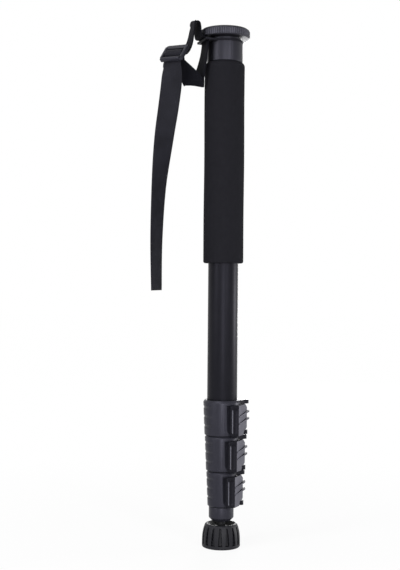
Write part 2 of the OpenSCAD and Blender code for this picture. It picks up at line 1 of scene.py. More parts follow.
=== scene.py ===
# A folding camera monopod: telescopic tubes with flip locks, a foam grip, a wrist strap and a screw-up foot.
# Metres, +Z up along the tubes, the foot's bottom at the origin and the front towards -Y.
import json
import math

import bmesh
import bpy
from mathutils import Euler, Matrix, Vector

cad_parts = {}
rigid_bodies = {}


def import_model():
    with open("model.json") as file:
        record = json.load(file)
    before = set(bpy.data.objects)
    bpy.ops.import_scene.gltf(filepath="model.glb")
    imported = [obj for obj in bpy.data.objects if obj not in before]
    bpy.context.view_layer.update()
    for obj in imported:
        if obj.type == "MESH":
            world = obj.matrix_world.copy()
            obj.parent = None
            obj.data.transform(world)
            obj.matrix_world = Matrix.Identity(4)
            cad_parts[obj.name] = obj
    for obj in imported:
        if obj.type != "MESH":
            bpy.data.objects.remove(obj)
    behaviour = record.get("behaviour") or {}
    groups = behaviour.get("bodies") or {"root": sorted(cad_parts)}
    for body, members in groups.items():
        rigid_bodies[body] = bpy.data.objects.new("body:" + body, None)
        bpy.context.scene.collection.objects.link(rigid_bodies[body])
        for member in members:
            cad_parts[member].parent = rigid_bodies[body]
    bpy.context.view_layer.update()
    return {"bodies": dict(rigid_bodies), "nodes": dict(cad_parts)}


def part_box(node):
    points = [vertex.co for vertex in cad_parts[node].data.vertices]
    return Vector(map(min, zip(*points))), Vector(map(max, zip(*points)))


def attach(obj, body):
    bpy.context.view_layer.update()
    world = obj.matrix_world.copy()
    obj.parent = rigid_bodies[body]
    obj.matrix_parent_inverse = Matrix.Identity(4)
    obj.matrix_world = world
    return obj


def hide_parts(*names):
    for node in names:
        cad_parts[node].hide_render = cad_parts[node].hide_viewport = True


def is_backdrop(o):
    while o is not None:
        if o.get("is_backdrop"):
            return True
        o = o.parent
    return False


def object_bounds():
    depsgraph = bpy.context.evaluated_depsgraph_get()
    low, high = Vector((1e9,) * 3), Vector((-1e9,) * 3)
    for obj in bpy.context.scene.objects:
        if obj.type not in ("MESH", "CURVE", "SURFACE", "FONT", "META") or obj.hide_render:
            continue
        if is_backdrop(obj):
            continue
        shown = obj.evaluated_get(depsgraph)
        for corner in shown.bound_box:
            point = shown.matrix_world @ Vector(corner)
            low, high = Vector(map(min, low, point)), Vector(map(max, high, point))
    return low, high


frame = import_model()
nodes = frame["nodes"]
MM = 0.001


# Leg tubes: four drawn aluminium tubes, one inside the next, anodised satin black.
# Each is cut square and its ends are broken with a file. The die leaves faint lines along the tube.
def eased(outline, steps=4):
    """An outline of (radius, height, easing) points with each corner rounded over by its easing."""
    points = []
    for k, (r, z, ease) in enumerate(outline):
        corner = Vector((r, z))
        if ease == 0:
            points.append(corner)
            continue
        before = Vector(outline[k - 1][:2])
        after = Vector(outline[(k + 1) % len(outline)][:2])
        start = corner + (before - corner).normalized() * ease
        end = corner + (after - corner).normalized() * ease
        for s in range(steps + 1):
            t = s / steps
            points.append(start * (1 - t) ** 2 + corner * 2 * t * (1 - t) + end * t ** 2)
    return points


def quarter(steps):
    """The angles of a quarter turn in equal steps."""
    return [math.pi / 2 * k / steps for k in range(steps + 1)]


def closed(bm, name):
    """A mesh from bmesh, its doubles merged and its faces turned outwards."""
    bmesh.ops.remove_doubles(bm, verts=bm.verts, dist=1e-7)
    bmesh.ops.dissolve_degenerate(bm, edges=bm.edges, dist=1e-8)
    bmesh.ops.recalc_face_normals(bm, faces=bm.faces)
    mesh = bpy.data.meshes.new(name)
    bm.to_mesh(mesh)
    bm.free()
    return mesh


def turned(name, outline, around=128, shape=None):
    """A closed mesh turned from an outline of (radius, height) points. shape may change a point's radius."""
    bm = bmesh.new()
    rings = []
    for k in range(around):
        a = 2 * math.pi * k / around
        ring = []
        for r, z in outline:
            if shape:
                r = shape(r, a, z)
            ring.append(bm.verts.new((r * math.cos(a), r * math.sin(a), z)))
        rings.append(ring)
    for k in range(around):
        here, there = rings[k], rings[(k + 1) % around]
        for i in range(len(outline)):
            j = (i + 1) % len(outline)
            if outline[i][0] > 0 or outline[j][0] > 0:
                bm.faces.new([here[i], there[i], there[j], here[j]])
    return closed(bm, name)


def shown(name, mesh, material, body, sharp=40):
    """A finished piece of the object: smooth but for its sharp edges, riding on a body."""
    mesh.materials.clear()
    mesh.materials.append(material)
    mesh.shade_smooth()
    mesh.set_sharp_from_angle(angle=math.radians(sharp))
    piece = bpy.data.objects.new(name, mesh)
    bpy.context.scene.collection.objects.link(piece)
    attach(piece, body)
    return piece


def finish(name):
    """A new material and a function that adds a node to it, with sockets by number or by name."""
    material = bpy.data.materials.new(name)
    material.use_nodes = True
    tree = material.node_tree

    def put(socket, value):
        if isinstance(value, bpy.types.NodeSocket):
            tree.links.new(value, socket)
        else:
            socket.default_value = value

    def add(kind, *numbered, settings=(), output=0, **named):
        node = tree.nodes["Principled BSDF"] if kind == "shader" else tree.nodes.new(kind)
        for key, value in dict(settings).items():
            setattr(node, key, value)
        for k, value in enumerate(numbered):
            put(node.inputs[k], value)
        for key, value in named.items():
            put(node.inputs[key.replace("_", " ")], value)
        return node.outputs[output]

    return material, add


def spread(add, value, low, high):
    """A value from 0 to 1 spread over another range."""
    return add("ShaderNodeMapRange", value, 0.0, 1.0, low, high)


def between(add, value, dark, light):
    """A colour between two tones, by a value from 0 to 1."""
    return add("ShaderNodeMixRGB", value, (*dark, 1), (*light, 1))


def anodised_black():
    material, add = finish("anodised_black")
    place = add("ShaderNodeTexCoord", output="Object")
    drawn = add("ShaderNodeMapping", place, Scale=(5200, 5200, 40))
    lines = add("ShaderNodeTexNoise", drawn, Scale=1.0, Detail=2.0)
    cloud = add("ShaderNodeTexNoise", place, Scale=70.0, Detail=3.0)
    add("shader", Base_Color=between(add, cloud, (0.0035, 0.0035, 0.0045), (0.006, 0.006, 0.0075)),
        Roughness=spread(add, lines, 0.34, 0.46),
        Specular_IOR_Level=0.11, Specular_Tint=(0.8, 0.78, 1, 1),
        Normal=add("ShaderNodeBump", Strength=0.12, Distance=2e-5, Height=lines))
    return material


tube_wall = 1.1 * MM
tube_edge = 0.25 * MM
black_tube = anodised_black()
for tube, body in (("upper_tube", "upper_leg"), ("tube_2", "section_2"),
                   ("tube_3", "section_3"), ("tube_4", "section_4")):
    low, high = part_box(tube)
    bore = high.x - tube_wall
    outline = eased([(high.x, low.z, tube_edge), (high.x, high.z, tube_edge),
                     (bore, high.z, tube_edge), (bore, low.z, tube_edge)], steps=2)
    piece = shown(f"{tube}_drawn", turned(tube, outline), black_tube, body)
    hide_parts(tube)


# Guide bushes, brake shoes and the tube plug: natural acetal, moulded or turned, and hidden inside the leg.
# The bushes are pressed on the inner tubes' tops, and the shoes sit loose in their windows.
def natural_acetal():
    material, add = finish("natural_acetal")
    place = add("ShaderNodeTexCoord", output="Object")
    grain = add("ShaderNodeTexNoise", place, Scale=900.0, Detail=3.0)
    add("shader", Base_Color=between(add, grain, (0.46, 0.45, 0.41), (0.56, 0.55, 0.51)),
        Roughness=spread(add, grain, 0.38, 0.5), Subsurface_Weight=0.05,
        Normal=add("ShaderNodeBump", Strength=0.1, Distance=2e-5, Height=grain))
    return material


pale_plastic = natural_acetal()
for node in ("tube_plug", "bush_2", "bush_3", "bush_4", "shoe_1", "shoe_2", "shoe_3"):
    nodes[node].material_slots[0].material = pale_plastic


# Hinge pins, screws and spike stem: bright steel pins pressed in the housings, and the rest blackened steel.
# The screws hold each housing and the head collar to their tube, and the stem is screwed into the ferrule.
def bright_steel():
    material, add = finish("bright_steel")
    place = add("ShaderNodeTexCoord", output="Object")
    turned_lines = add("ShaderNodeMapping", place, Scale=(300, 300, 9000))
    lines = add("ShaderNodeTexNoise", turned_lines, Scale=1.0, Detail=2.0)
    add("shader", Base_Color=between(add, lines, (0.36, 0.36, 0.37), (0.5, 0.5, 0.51)), Metallic=1.0,
        Roughness=spread(add, lines, 0.24, 0.38),
        Normal=add("ShaderNodeBump", Strength=0.15, Distance=1e-5, Height=lines))
    return material


# Blackened steel, its tone set darker still as painted shade for the stem in the ferrule's shadow.
def blackened_steel_painted_shade():
    material, add = finish("blackened_steel_painted_shade")
    place = add("ShaderNodeTexCoord", output="Object")
    grain = add("ShaderNodeTexNoise", place, Scale=2200.0, Detail=3.0)
    add("shader", Base_Color=between(add, grain, (0.01, 0.01, 0.011), (0.02, 0.02, 0.022)), Metallic=0.6,
        Roughness=spread(add, grain, 0.45, 0.6), Specular_IOR_Level=0.2,
        Normal=add("ShaderNodeBump", Strength=0.15, Distance=1e-5, Height=grain))
    return material


steel = bright_steel()
black_screw = blackened_steel_painted_shade()
for node in ("lock_1_pin", "lock_2_pin", "lock_3_pin"):
    nodes[node].material_slots[0].material = steel
for node in ("lock_1_screw", "lock_2_screw", "lock_3_screw", "head_collar_screws", "spike_stem"):
    nodes[node].material_slots[0].material = black_screw


# Lock housings: tapered black mouldings screwed to each tube's lower end, with grip grooves at the left side
# and a band and lug that carry the lever's pin. Glass-filled nylon with a fine spark-eroded skin.
# The arms that stand out past the barrel carry painted shade: a duller, blacker finish than the barrel
# itself.
def moulded_black(name, dark, light, smooth=0.3, rough=0.42, shine=0.2):
    """A moulded plastic clouded between two tones, with a range of roughness and a strength of shine."""
    material, add = finish(name)
    place = add("ShaderNodeTexCoord", output="Object")
    grain = add("ShaderNodeTexNoise", place, Scale=2600.0, Detail=3.0, Roughness=0.6)
    cloud = add("ShaderNodeTexNoise", place, Scale=120.0, Detail=3.0)
    add("shader", Base_Color=between(add, cloud, dark, light), Roughness=spread(add, grain, smooth, rough),
        Specular_IOR_Level=shine, Specular_Tint=(0.82, 0.81, 1, 1),
        Normal=add("ShaderNodeBump", Strength=0.2, Distance=2e-5, Height=grain))
    return material


def softened(node, ease, flat=0.6, hard=32, segments=3):
    """A copy of a moulded piece's mesh, its flat faces joined (degrees) and its hard edges rounded over."""
    bm = bmesh.new()
    bm.from_mesh(nodes[node].data)
    bmesh.ops.remove_doubles(bm, verts=bm.verts, dist=1e-6)
    bmesh.ops.dissolve_limit(bm, angle_limit=math.radians(flat), verts=bm.verts, edges=bm.edges)
    edges = [e for e in bm.edges if len(e.link_faces) == 2 and e.calc_face_angle(0) > math.radians(hard)]
    bmesh.ops.bevel(bm, geom=edges, offset=ease, segments=segments, profile=0.5, affect="EDGES",
                    clamp_overlap=True)
    mesh = bpy.data.meshes.new(node)
    bm.to_mesh(mesh)
    bm.free()
    return mesh


def painted_light_on_faces(piece, material, chosen):
    """Gives the faces of a piece that chosen picks a second material, which here carries painted shade or a
    painted highlight.
    """
    piece.data.materials.append(material)
    for face in piece.data.polygons:
        if chosen(face):
            face.material_index = 1


housing_ease = 0.35 * MM
housing_wall = 3.8 * MM
black_plastic = moulded_black("moulded_black", (0.0115, 0.0115, 0.0155), (0.017, 0.017, 0.0225))
# Painted shade: a deeper black for the parts that stand in shade, the lock arms, the lever's sides and the
# head.
painted_shade_black = ((0.004, 0.004, 0.0055), (0.0065, 0.0065, 0.0085))
arm_painted_shade = moulded_black("arm_painted_shade_black", *painted_shade_black, smooth=0.5, rough=0.62, shine=0.1)
for lock, body, tube in ((1, "upper_leg", "upper_tube"), (2, "section_2", "tube_2"),
                         (3, "section_3", "tube_3")):
    node = f"lock_{lock}_collar"
    arms_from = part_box(tube)[1].x + housing_wall
    piece = shown(f"lock_{lock}_housing", softened(node, housing_ease), black_plastic, body)
    # Painted shade: faces out past the barrel take the darker black.
    painted_light_on_faces(piece, arm_painted_shade, lambda face: face.center.xy.length > arms_from)
    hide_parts(node)


# Flip levers: black mouldings that turn on the pins, with a cam on the hinge side that drives the shoe.
# The nose is scooped for a thumb, two ribs cross the face and stand proud at the hinge end,
# and the face turned to the right is a paler grey as a painted highlight, the sides and nose a deeper black
# as painted shade.
lever_ease = 0.4 * MM
lever_bearing = math.radians(-25)
lever_out = Vector((math.cos(lever_bearing), math.sin(lever_bearing), 0))
lever_face_cosine = 0.93
lever_painted_shade = moulded_black("lever_painted_shade_black", *painted_shade_black, smooth=0.4, rough=0.52, shine=0.09)
lever_painted_highlight = moulded_black("lever_painted_highlight", (0.056, 0.055, 0.069), (0.075, 0.074, 0.091), smooth=0.4, rough=0.55)
for lock in (1, 2, 3):
    node = f"lever_{lock}"
    piece = shown(f"flip_lever_{lock}", softened(node, lever_ease), lever_painted_shade, node)
    # Painted highlight: faces turned along lever_out take the paler grey, and the rest keeps the painted
    # shade.
    painted_light_on_faces(piece, lever_painted_highlight, lambda face: face.normal.dot(lever_out) > lever_face_cosine)
    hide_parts(node)


# Foot ferrule: a black moulded end piece pressed on the smallest tube.
# Its bottom edge is chamfered, and the threaded stem screws into its floor.
ferrule_chamfer = 3.2 * MM
ferrule_height = 14.2 * MM
ferrule_floor = 4 * MM
ferrule_low_ease = 0.3 * MM
ferrule_side_ease = 0.6 * MM
ferrule_top_ease = 0.7 * MM
ferrule_mouth_ease = 0.2 * MM
stem_radius = 4 * MM
low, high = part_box("foot_ferrule")
ferrule_radius = high.x
tube_4_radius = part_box("tube_4")[1].x
boss_radius = tube_4_radius - tube_wall
ferrule_top = low.z + ferrule_height
outline = eased([
    (stem_radius, low.z, 0), (ferrule_radius - ferrule_chamfer, low.z, ferrule_low_ease),
    (ferrule_radius, low.z + ferrule_chamfer, ferrule_side_ease),
    (ferrule_radius, ferrule_top, ferrule_top_ease),
    (tube_4_radius, ferrule_top, ferrule_mouth_ease), (tube_4_radius, low.z + ferrule_floor, 0),
    (boss_radius, low.z + ferrule_floor, 0), (boss_radius, high.z, 0), (stem_radius, high.z, 0)])
mesh = turned("foot_ferrule", outline)
piece = shown("ferrule_moulding", mesh, black_plastic, "section_4")
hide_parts("foot_ferrule")


# Rubber foot: a bell-shaped moulding on a brass insert, which screws up the stem to bare the spike.
# Wedge-shaped flutes round it widen towards the bottom and give the fingers a grip.
# The flutes' walls and the dish round the stem are darkened with painted shade, darker than the bell's skin.
def moulded_rubber():
    """Black rubber, darkened by painted shade where a mesh's shade attribute rises to 1."""
    material, add = finish("moulded_rubber")
    place = add("ShaderNodeTexCoord", output="Object")
    grain = add("ShaderNodeTexNoise", place, Scale=1900.0, Detail=4.0, Roughness=0.65)
    bloom = add("ShaderNodeTexNoise", place, Scale=160.0, Detail=4.0)
    painted_shade = add("ShaderNodeAttribute", settings={"attribute_name": "painted_shade"}, output="Fac")
    skin = between(add, bloom, (0.0055, 0.0055, 0.0075), (0.0105, 0.0105, 0.0138))
    add("shader", Base_Color=add("ShaderNodeMixRGB", painted_shade, skin, (0.001, 0.001, 0.0014, 1)),
        Roughness=spread(add, grain, 0.42, 0.58), Specular_IOR_Level=spread(add, painted_shade, 0.16, 0.02),
        Normal=add("ShaderNodeBump", Strength=0.35, Distance=4e-5, Height=grain))
    return material


rubber = moulded_rubber()
flutes = 16
flute_bottom = 3.7 * MM
flute_top = 20.9 * MM
flute_half = 1.85 * MM
flute_point = 0.8 * MM
flute_lean = 0.0875
flute_turn = math.radians(-3.8)
flute_wall = 0.35 * MM
flute_depth = 1.65 * MM
flute_floor_shade = 0.25
points_per_flute = 36
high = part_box("rubber_foot")[1]
foot_height = high.z
foot_radius = high.x
foot_top_radius = 15.7 * MM
foot_skin = 0.5 * MM
bell_power = 3.4


def bell(z):
    """The bell's outside radius at a height."""
    return foot_radius - (foot_radius - foot_top_radius) * (z / foot_height) ** bell_power


def in_flute(r, a, z):
    """How far into a flute a point of the bell's outside lies, from 0 on a rib to 1 on a flute's floor."""
    if r < foot_top_radius - foot_skin or not flute_bottom < z < flute_top:
        return 0
    pitch = 2 * math.pi / flutes
    off = abs(((a - flute_turn) / pitch + 0.5) % 1 - 0.5) * pitch * r
    climb = (z - flute_bottom) / (flute_top - flute_bottom)
    half = flute_half + (flute_point - flute_half) * climb
    edge = min(max((half - off) / flute_wall + 0.5, 0), 1)
    run_out = min((z - flute_bottom) / flute_wall, (flute_top - z) / flute_wall, 1)
    return edge * edge * (3 - 2 * edge) * run_out


def fluted(r, a, z):
    """A point of the bell's outside, pushed in where a flute runs."""
    flute_floor = foot_radius - flute_depth - flute_lean * (z - flute_bottom)
    return r - max(r - flute_floor, 0) * in_flute(r, a, z)


foot_edge = 1.5 * MM
foot_edge_steps = 6
foot_rim = 0.8 * MM
foot_rim_in, foot_rim_down = 0.25 * MM, 0.2 * MM
foot_land = 2.2 * MM
insert_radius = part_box("foot_insert")[1].x
insert_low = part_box("foot_insert")[0].z
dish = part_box("foot_wiper")[1].z
mouth_room = 0.5 * MM
stem_room = 0.8 * MM
mouth = ferrule_radius - ferrule_chamfer + mouth_room
stem_hole = stem_radius + stem_room
bell_rows = 60
outline = [(stem_hole, 0.0)]
outline += [(foot_radius - foot_edge + foot_edge * math.sin(t), foot_edge - foot_edge * math.cos(t))
            for t in quarter(foot_edge_steps)]
outline += [(bell(z), z) for z in (foot_edge + (foot_height - foot_rim - foot_edge) * k / bell_rows
                                   for k in range(1, bell_rows + 1))]
outline += [(foot_top_radius - foot_rim_in, foot_height - foot_rim_down),
            (foot_top_radius - foot_rim, foot_height), (foot_top_radius - foot_land, foot_height),
            (mouth, dish), (insert_radius, dish), (insert_radius, insert_low), (stem_hole, insert_low)]
mesh = turned("rubber_foot", outline, around=flutes * points_per_flute, shape=fluted)
# Painted shade: the flutes' walls and floors and the dish round the stem are marked for darkening.
painted_shade = mesh.attributes.new("painted_shade", "FLOAT", "POINT")
hair = 1e-5
for k, point in enumerate(mesh.vertices):
    x, y, z = point.co
    depth = in_flute(bell(z), math.atan2(y, x), z)
    in_dish = z > dish - hair and point.co.xy.length < foot_top_radius - foot_land + hair
    painted_shade.data[k].value = 1 if in_dish else 4 * depth * (1 - depth) + flute_floor_shade * depth
piece = shown("foot_rubber", mesh, rubber, "foot", sharp=50)
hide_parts("rubber_foot")
nodes["foot_wiper"].material_slots[0].material = rubber


def turned_brass():
    material, add = finish("turned_brass")
    place = add("ShaderNodeTexCoord", output="Object")
    lines = add("ShaderNodeTexNoise", place, Scale=1500.0, Detail=2.0)
    add("shader", Base_Color=between(add, lines, (0.42, 0.31, 0.12), (0.54, 0.41, 0.17)), Metallic=1.0,
        Roughness=spread(add, lines, 0.25, 0.4))
    return material


nodes["foot_insert"].material_slots[0].material = turned_brass()


# Head collar: a smooth black moulding over the upper tube's top, held by set screws at the back.
# A parting line runs down its front. It and the platform are a glossier black than the locks, made deeper as
# painted shade.
low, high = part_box("head_collar")
collar_radius = high.x
tube_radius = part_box("upper_tube")[1].x
tube_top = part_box("upper_tube")[1].z
spigot_radius = 11 * MM
seam_bearing = math.radians(-69)
seam_width = 0.35 * MM
seam_depth = 0.25 * MM
collar_low_ease = 0.8 * MM
collar_top_ease = 0.3 * MM


def seamed(r, a, z):
    """A point of the collar's outside, pushed in at the parting line."""
    off = abs((a - seam_bearing + math.pi) % (2 * math.pi) - math.pi) * r
    if r < collar_radius - 1e-6 or off > seam_width:
        return r
    return r - seam_depth * (1 - off / seam_width)


outline = eased([
    (spigot_radius, tube_top, 0), (tube_radius, tube_top, 0), (tube_radius, low.z, 0),
    (collar_radius, low.z, collar_low_ease), (collar_radius, high.z, collar_top_ease),
    (spigot_radius, high.z, 0)])
head_painted_shade = moulded_black("head_painted_shade_black", *painted_shade_black, smooth=0.38, rough=0.48, shine=0.3)
mesh = turned("head_collar", outline, around=480, shape=seamed)
piece = shown("collar_moulding", mesh, head_painted_shade, "upper_leg")
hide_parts("head_collar")


# Strap anchor: a flat moulded ring clamped between the collar and the platform's neck.
# Its slotted ear at the left carries the wrist strap.
anchor_ease = 0.5 * MM
mesh = softened("strap_anchor", anchor_ease)
# Painted shade: the anchor takes the arms' darker black.
piece = shown("anchor_moulding", mesh, arm_painted_shade, "upper_leg")
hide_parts("strap_anchor")


# Camera platform: a moulded disc on a neck, drawn down by the stud's shank.
# Fine upright ribs round its rim give a grip for tightening the camera.
low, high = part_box("mounting_plate")
platform_radius = high.x
platform_height = 8 * MM
platform_low = high.z - platform_height
platform_edge = 1.5 * MM
platform_top_ease = 0.9 * MM
spigot_ease = 0.3 * MM
neck_low_ease = 0.3 * MM
neck_top_ease = 0.6 * MM
flange_ease = 0.2 * MM
neck_radius = 15.5 * MM
neck_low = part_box("strap_anchor")[1].z
shank_radius = 9.525 / 2 * MM
rib_proud = 0.25 * MM
rim_radius = platform_radius - rib_proud
stud_flange_wide = 1.5 * MM
stud_flange_thick = 2 * MM
stud_flange_radius = shank_radius + stud_flange_wide
stud_flange_low = high.z - stud_flange_thick
outline = eased([
    (shank_radius, low.z, 0), (spigot_radius, low.z, spigot_ease), (spigot_radius, neck_low, 0),
    (neck_radius, neck_low, neck_low_ease), (neck_radius, platform_low, neck_top_ease),
    (rim_radius, platform_low, platform_edge), (rim_radius, high.z, platform_top_ease),
    (stud_flange_radius, high.z, flange_ease), (stud_flange_radius, stud_flange_low, 0),
    (shank_radius, stud_flange_low, 0)])
mesh = turned("mounting_plate", outline, around=192)
# Painted shade: the platform takes the collar's deeper black.
piece = shown("platform_moulding", mesh, head_painted_shade, "upper_leg")
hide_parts("mounting_plate")


def node_tree(name, **sizes):
    """A Geometry Nodes tree with an output and named inputs, and a function that adds a node to it."""
    tree = bpy.data.node_groups.new(name, "GeometryNodeTree")
    tree.interface.new_socket("Geometry", in_out="OUTPUT", socket_type="NodeSocketGeometry")
    tree.interface.new_socket("Base", in_out="INPUT", socket_type="NodeSocketGeometry")
    kinds = {int: "NodeSocketInt", float: "NodeSocketFloat"}
    names = {key: tree.interface.new_socket(key, in_out="INPUT", socket_type=kinds[type(value)]).identifier
             for key, value in sizes.items()}
    given = tree.nodes.new("NodeGroupInput")
    result = tree.nodes.new("NodeGroupOutput")

    def add(kind, settings=(), **sockets):
        node = tree.nodes.new(kind)
        for key, value in dict(settings).items():
            setattr(node, key, value)
        for key, value in sockets.items():
            socket = node.inputs[key.replace("_", " ")]
            if isinstance(value, bpy.types.NodeSocket):
                tree.links.new(value, socket)
            else:
                socket.default_value = value
        return node

    def end(geometry, material):
        real = add("GeometryNodeRealizeInstances", Geometry=geometry)
        painted = add("GeometryNodeSetMaterial", Geometry=real.outputs[0], Material=material)
        tree.links.new(painted.outputs[0], result.inputs[0])

    def grown(base):
        """The tree's mesh on a base mesh, as a plain mesh."""
        carrier = bpy.data.objects.new(name, base)
        bpy.context.scene.collection.objects.link(carrier)
        modifier = carrier.modifiers.new(name, "NODES")
        modifier.node_group = tree
        for key, value in sizes.items():
            modifier[names[key]] = value
        grown_mesh = bpy.data.meshes.new_from_object(
            carrier.evaluated_get(bpy.context.evaluated_depsgraph_get()))
        carrier.modifiers.remove(modifier)
        bpy.data.objects.remove(carrier)
        return grown_mesh

    return given, add, end, grown


rim_ribs = 68
rib_sides = 12
rib_width = 1.3 * MM
rib_run_on = 0.4 * MM
rib_height = platform_height - 2 * platform_edge + rib_run_on
given, add, end, grown = node_tree("rim_ribs", Count=rim_ribs, Radius=rim_radius - rib_width / 2 + rib_proud,
                                   Width=rib_width, Height=rib_height, Middle=(platform_low + high.z) / 2)
ring = add("GeometryNodeMeshCircle", Vertices=given.outputs["Count"], Radius=given.outputs["Radius"])
middle = add("ShaderNodeCombineXYZ", Z=given.outputs["Middle"])
lifted = add("GeometryNodeTransform", Geometry=ring.outputs[0], Translation=middle.outputs[0])
half = add("ShaderNodeMath", settings={"operation": "MULTIPLY"})
half.inputs[1].default_value = 0.5
half.id_data.links.new(given.outputs["Width"], half.inputs[0])
rib = add("GeometryNodeMeshCylinder", Vertices=rib_sides, Radius=half.outputs[0],
          Depth=given.outputs["Height"])
ribs = add("GeometryNodeInstanceOnPoints", Points=lifted.outputs[0], Instance=rib.outputs["Mesh"])
rib_plastic = moulded_black("rib_black", (0.012, 0.012, 0.0155), (0.018, 0.018, 0.023),
                            smooth=0.24, rough=0.34, shine=0.5)
end(ribs.outputs[0], rib_plastic)
shown("platform_rim_ribs", grown(bpy.data.meshes.new("rim_ribs")), rib_plastic, "upper_leg")


# Platform pad: a rubber face glued on the platform, with raised rings that bite on the camera's base.
# It is the same black rubber as the foot, with a hole for the stud.
low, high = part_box("plate_pad")
pad_radius = high.x
stud_radius = 6.35 / 2 * MM
stud_room = 1 * MM
pad_hole = stud_radius + stud_room
pad_edge = 0.2 * MM
pad_rings = 6
ring_pitch = (pad_radius - pad_hole) / (pad_rings + 1)
groove = 0.5 * MM
outline = [(pad_hole, low.z), (pad_radius, low.z),
           (pad_radius, high.z - pad_edge), (pad_radius - pad_edge, high.z)]
for k in range(pad_rings):
    r = pad_radius - (k + 1) * ring_pitch
    outline += [(r + groove, high.z), (r + groove / 2, high.z - groove), (r - groove / 2, high.z - groove),
                (r - groove, high.z)]
outline += [(pad_hole, high.z)]
piece = shown("pad_rubber", turned("plate_pad", outline), rubber, "upper_leg")
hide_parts("plate_pad")


# Camera stud: a turned steel screw with a standard quarter inch thread above its flange.
# Its thicker shank below the flange draws the platform down on the leg.
low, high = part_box("camera_stud")
thread_pitch = 1.27 * MM
thread_depth = 0.7 * MM
thread_above = 0.3 * MM
thread_below = 0.05 * MM
thread_skin = 0.65 * MM
stud_point = 0.6 * MM
flange_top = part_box("mounting_plate")[1].z
thread_rows = 40


def threaded(r, a, z):
    """A point of the stud, with the thread's helix cut into its upper end."""
    if not flange_top + thread_above < z < high.z - thread_below or r < stud_radius - thread_skin:
        return r
    turn = (z / thread_pitch - a / (2 * math.pi)) % 1
    return min(r, stud_radius) - thread_depth * abs(2 * turn - 1)


outline = [(0.0, low.z), (shank_radius, low.z), (shank_radius, stud_flange_low),
           (stud_flange_radius, stud_flange_low), (stud_flange_radius, flange_top), (stud_radius, flange_top)]
outline += [(stud_radius, flange_top + (high.z - stud_point - flange_top) * k / thread_rows)
            for k in range(1, thread_rows + 1)]
outline += [(stud_radius - stud_point, high.z), (0.0, high.z)]
mesh = turned("camera_stud", outline, around=64, shape=threaded)
piece = shown("stud_threaded", mesh, steel, "upper_leg", sharp=60)
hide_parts("camera_stud")


# Foam grip: a sleeve of closed-cell foam, skived to length and pushed on the tube with soap.
# Its upper edge is rounded over, and the cut skin is finely pitted and a little uneven.
def closed_cell_foam():
    material, add = finish("closed_cell_foam")
    place = add("ShaderNodeTexCoord", output="Object")
    cells = add("ShaderNodeTexVoronoi", place, settings={"feature": "F1"}, Scale=1500.0)
    lumps = add("ShaderNodeTexNoise", place, Scale=240.0, Detail=4.0)
    height = add("ShaderNodeMath", cells, lumps, settings={"operation": "ADD"})
    add("shader", Base_Color=between(add, lumps, (0.007, 0.0069, 0.0088), (0.0107, 0.0105, 0.0134)),
        Roughness=spread(add, lumps, 0.8, 0.92), Specular_IOR_Level=0.05,
        Normal=add("ShaderNodeBump", Strength=0.3, Distance=1.2e-4, Height=height))
    return material


foam_low, foam_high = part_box("foam_grip")
foam_radius = foam_high.x
foam_top_round = 4 * MM
foam_end_round = 2 * MM
foam_top_steps = 10
foam_end_steps = 6
foam_skin = 0.5 * MM
foam_swell = 0.08 * MM
foam_rows = 70


def handled(r, a, z):
    """A point of the grip's skin, with the slight unevenness of soft foam."""
    if r < tube_radius + foam_skin:
        return r
    return r - foam_swell * (2 + math.sin(3 * a + 61 * z) + math.sin(a - 37 * z))


outline = [(tube_radius, foam_low.z)]
outline += [(foam_radius - foam_end_round * (1 - math.sin(t)),
             foam_low.z + foam_end_round * (1 - math.cos(t))) for t in quarter(foam_end_steps)]
straight_low = foam_low.z + foam_end_round
straight_high = foam_high.z - foam_top_round
outline += [(foam_radius, straight_low + (straight_high - straight_low) * k / foam_rows)
            for k in range(1, foam_rows)]
outline += [(foam_radius - foam_top_round * (1 - math.cos(t)),
             foam_high.z - foam_top_round * (1 - math.sin(t))) for t in quarter(foam_top_steps)]
outline += [(tube_radius, foam_high.z)]
mesh = turned("foam_grip", outline, shape=handled)
foam = shown("foam_sleeve", mesh, closed_cell_foam(), "upper_leg")
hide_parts("foam_grip")


# Strap buckle: a moulded ladder buckle with three bars, which grips the webbing where it doubles back.
# It is the same plastic as the lock housings, with its edges rounded so that they spare the strap.
buckle_ease = 0.6 * MM
mesh = softened("strap_buckle", buckle_ease)
buckle = shown("buckle_moulding", mesh, black_plastic, "upper_leg")
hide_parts("strap_buckle")


# Wrist strap: one length of flat nylon webbing, about 20 mm wide. It is sewn at the buckle's middle bar,
# loops down and up through the ear, folds over, passes through the buckle and hangs as a tail.
strap_width = 20.5 * MM
strap_thick = 1.2 * MM
strap_length = 0.398
tail_from = 0.165
painted_shade_taper = 25 * MM
seal_start, seal_full = 2 * MM, 1 * MM
cords_per_metre = 1150.0
picks_per_metre = 1250.0
strap_steps = 6
strap_sides = 14
edge_crowding = 1.6
selvage_power = 14
buckle_middle = Vector((-50.4, -16.5, 490.1))
buckle_angles = (54, 3, -36)
buckle_turn = Euler([math.radians(v) for v in buckle_angles]).to_matrix()


def on_buckle(up, out):
    """A row of the strap's route on the buckle, up along its face and out of it."""
    return (*(buckle_middle + buckle_turn @ Vector((0, up, out))), buckle_angles[2], -buckle_angles[1])


